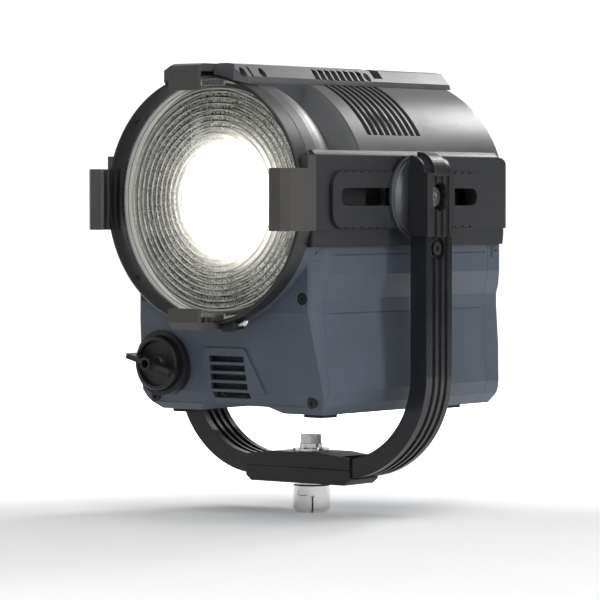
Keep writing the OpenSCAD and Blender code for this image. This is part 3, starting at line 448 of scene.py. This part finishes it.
def pin(bm, middle, axis, radius, length, steps=24):
    turn = Vector(axis).to_track_quat("Z", "Y").to_matrix().to_4x4()
    bmesh.ops.create_cone(bm, cap_ends=True, segments=steps, radius1=radius, radius2=radius, depth=length,
                          matrix=Matrix.Translation(middle) @ turn)


def from_bmesh(name, build, material, body, bevel=0.0):
    bm = bmesh.new()
    build(bm)
    mesh = bpy.data.meshes.new(name)
    bm.to_mesh(mesh)
    bm.free()
    obj = piece(name, mesh, material, body)
    if bevel:
        modifier = obj.modifiers.new("round", "BEVEL")
        modifier.width = bevel
        modifier.segments = 2
        modifier.limit_method = "ANGLE"
    return obj


# ---------- dark gauze behind the vents: painted shade inside them ---

# near-black wire-mesh pattern: partly a gauze screen, partly painted shade behind the vents
def shade_gauze_material():
    s = Shader("gauze")
    holes = s.cells(520.0).outputs["Distance"]
    wire = s.mapped(holes, 0.30, 0.42)
    color = s.mix(wire, (0.0015, 0.0015, 0.002, 1), (0.012, 0.012, 0.014, 1))
    s.surface(Base_Color=color, Roughness=0.6, Normal=s.bump(holes, 0.2 * MM))
    return s.material


SHADE_GAUZE = shade_gauze_material()
SHADE_GAUZE_R, SHADE_GAUZE_ENDS = 89, (73, 158)      # radius and ends along the barrel, in millimetres


def vault_shade_gauze(bm):
    """A dark sheet of painted shade along the inside of the barrel behind each side grille."""
    for side in (-1, 1):
        rows = []
        for a in range(26, 71, 4):
            x = side * SHADE_GAUZE_R * math.cos(math.radians(a))
            z = SHADE_GAUZE_R * math.sin(math.radians(a))
            rows.append([bm.verts.new(at(x, y, z)) for y in SHADE_GAUZE_ENDS])
        for (a, b), (c, d) in zip(rows, rows[1:]):
            bm.faces.new((a, b, d, c))


def base_shade_gauze(bm):
    """A dark sheet of painted shade behind the base's front grille, leaning with the cover."""
    corners = ((-21, 17.5, -113), (21, 17.5, -113), (21, 22.6, -144), (-21, 22.6, -144))
    bm.faces.new([bm.verts.new(at(*corner)) for corner in corners])


from_bmesh("barrel_shade_gauze", vault_shade_gauze, SHADE_GAUZE, "head")
from_bmesh("base_shade_gauze", base_shade_gauze, SHADE_GAUZE, "head")


# ---------- small fittings on the head ----------

CUT = math.radians(30.4)      # how far the base's cut front corners turn from its sides
COLLAR_R = 91.2               # where the collar's screws stand, in millimetres


def corner_tabs(bm):
    for side in (-1, 1):
        turn = Matrix.Rotation(-side * CUT, 4, "Z")
        block(bm, at(side * 84.8, 12.9, -40.6), (1.0 * MM, 10 * MM, 9.8 * MM), turn)
        block(bm, at(side * 90.3, 238.0, -41.0), (1.0 * MM, 9.5 * MM, 9.2 * MM))


def tab_screws(bm):
    for side in (-1, 1):
        outward = (side * math.cos(CUT), -math.sin(CUT), 0)
        pin(bm, at(side * 85.4, 12.5, -39.0), outward, 1.3 * MM, 0.5 * MM)
        pin(bm, at(side * 91.0, 238.0, -40.0), (1, 0, 0), 1.3 * MM, 0.5 * MM)


def collar_screws(bm):
    for angle in (140, 220, 40, 320):
        a = math.radians(angle)
        outward = (math.cos(a), 0, math.sin(a))
        pin(bm, at(COLLAR_R * outward[0], -7.5, COLLAR_R * outward[2]), outward, 2.3 * MM, 1.4 * MM)


from_bmesh("corner_tabs", corner_tabs, MATERIALS["base_slate"], "head", 0.4 * MM)
from_bmesh("tab_screws", tab_screws, MATERIALS["screw_black"], "head", 0.15 * MM)
from_bmesh("collar_screws", collar_screws, MATERIALS["screw_black"], "head", 0.3 * MM)


# ---------- camera, light and floor ----------

CAMERA_AZIMUTH = math.radians(39.3)
CAMERA_DISTANCE = 2.591
CAMERA_LENS = 207.0
YAW_RIGHT, PITCH_DOWN = 0.0244638, 0.0291304      # slopes from the lens's axis to the camera's aim

to_camera = Vector((math.sin(CAMERA_AZIMUTH), -math.cos(CAMERA_AZIMUTH), 0))
to_right = Vector((math.cos(CAMERA_AZIMUTH), math.sin(CAMERA_AZIMUTH), 0))
camera_data = bpy.data.cameras.new("camera")
camera_data.lens = CAMERA_LENS
camera_data.sensor_width = 36
camera_data.clip_end = 50
camera = bpy.data.objects.new("camera", camera_data)
scene.collection.objects.link(camera)
camera.location = LENS + to_camera * CAMERA_DISTANCE
aim = -to_camera + to_right * YAW_RIGHT - Vector((0, 0, PITCH_DOWN))
camera.rotation_euler = aim.to_track_quat("-Z", "Y").to_euler()
scene.camera = camera


def area_light(name, place, target, size, power, color=(1, 1, 1), size_y=None):
    data = bpy.data.lights.new(name, "AREA")
    data.energy = power
    data.color = color
    data.size = size
    if size_y:
        data.shape = "RECTANGLE"
        data.size_y = size_y
    obj = bpy.data.objects.new(name, data)
    scene.collection.objects.link(obj)
    obj.location = place
    obj.rotation_euler = (Vector(target) - Vector(place)).to_track_quat("-Z", "Y").to_euler()
    return obj


middle = (cad_box[0] + cad_box[1]) / 2
area_light("rear_high", middle + Vector((0.04, 1.8, 1.06)), middle, 0.5, 15, size_y=0.3)
area_light("top_soft", middle + Vector((0.5, -0.2, 1.7)), middle, 0.9, 8, size_y=0.9)
area_light("right_side", middle + Vector((2.1, 0.45, 0.5)), middle, 0.4, 17, size_y=0.9)
area_light("left_fill", middle + Vector((-1.9, -0.9, 0.6)), middle, 0.7, 8, (0.93, 0.96, 1.0), 1.2)
area_light("front_fill", middle + to_camera * 2.4 + Vector((-0.5, 0, 0.7)), middle, 0.3, 6)
ground = middle + to_camera * 1.0
area_light("floor_front", ground + Vector((0, 0, 0.8)), ground, 1.4, 6, size_y=0.8)
wall = middle - to_camera * 3.0
above_object = middle - to_camera * 0.9 + Vector((0, 0, 1.5))
area_light("backdrop_light", above_object, wall + Vector((0, 0, 0.3)), 2.0, 125)


def studio_world():
    """A dim room with two tall soft boxes, one each side of the camera, for the bright metal to mirror."""
    world = bpy.data.worlds.new("studio")
    scene.world = world
    world.use_nodes = True
    tree = world.node_tree
    background = tree.nodes["Background"]
    background.inputs["Strength"].default_value = 1.0
    turned = tree.nodes.new("ShaderNodeMapping")
    turned.inputs["Rotation"].default_value = (0, 0, -CAMERA_AZIMUTH)
    tree.links.new(tree.nodes.new("ShaderNodeTexCoord").outputs["Generated"], turned.inputs["Vector"])
    axes = tree.nodes.new("ShaderNodeSeparateXYZ")
    tree.links.new(turned.outputs[0], axes.inputs[0])
    aside = tree.nodes.new("ShaderNodeMath")
    aside.operation = "ABSOLUTE"
    tree.links.new(axes.outputs["X"], aside.inputs[0])
    boxes = tree.nodes.new("ShaderNodeValToRGB")
    stops = ((0.0, 0.03), (0.50, 0.03), (0.56, 0.60), (0.66, 0.60), (0.72, 0.03), (1.0, 0.05))
    ramp = boxes.color_ramp
    while len(ramp.elements) < len(stops):
        ramp.elements.new(0.5)
    for element, (where, level) in zip(ramp.elements, stops):
        element.position = where
        element.color = (level * 0.96, level * 0.98, level, 1)
    tree.links.new(aside.outputs[0], boxes.inputs["Fac"])
    tree.links.new(boxes.outputs["Color"], background.inputs["Color"])


studio_world()


FLOOR_FRONT, FLOOR_BACK, FLOOR_HALF = 6, 3.0, 8      # the floor's reach in metres, and half its width
SWEEP, WALL_TOP = 1.5, 6                             # the curve up to the backdrop, and the backdrop's top


def floor_and_backdrop():
    """A pale floor that sweeps up into a backdrop behind the object."""
    bm = bmesh.new()
    profile = [(-FLOOR_FRONT, 0), (FLOOR_BACK, 0)]
    for degrees in range(10, 91, 10):
        a = math.radians(degrees)
        profile.append((FLOOR_BACK + SWEEP * math.sin(a), SWEEP - SWEEP * math.cos(a)))
    profile.append((FLOOR_BACK + SWEEP, WALL_TOP))
    rows = [[bm.verts.new((x, y, z)) for y, z in profile] for x in (-FLOOR_HALF, FLOOR_HALF)]
    for k in range(len(profile) - 1):
        bm.faces.new((rows[0][k], rows[1][k], rows[1][k + 1], rows[0][k + 1]))
    mesh = bpy.data.meshes.new("floor")
    bm.to_mesh(mesh)
    bm.free()
    for face in mesh.polygons:
        face.use_smooth = True
    obj = bpy.data.objects.new("floor", mesh)
    scene.collection.objects.link(obj)
    obj.rotation_euler = (0, 0, CAMERA_AZIMUTH)
    s = Shader("floor")
    cloud = s.mapped(s.noise(3.0), 0.3, 0.7)
    s.surface(Base_Color=s.mix(cloud, (0.90, 0.90, 0.90, 1), (0.93, 0.93, 0.93, 1)), Roughness=0.9)
    dress(obj, s.material)


floor_and_backdrop()
scene.view_settings.view_transform = "Standard"
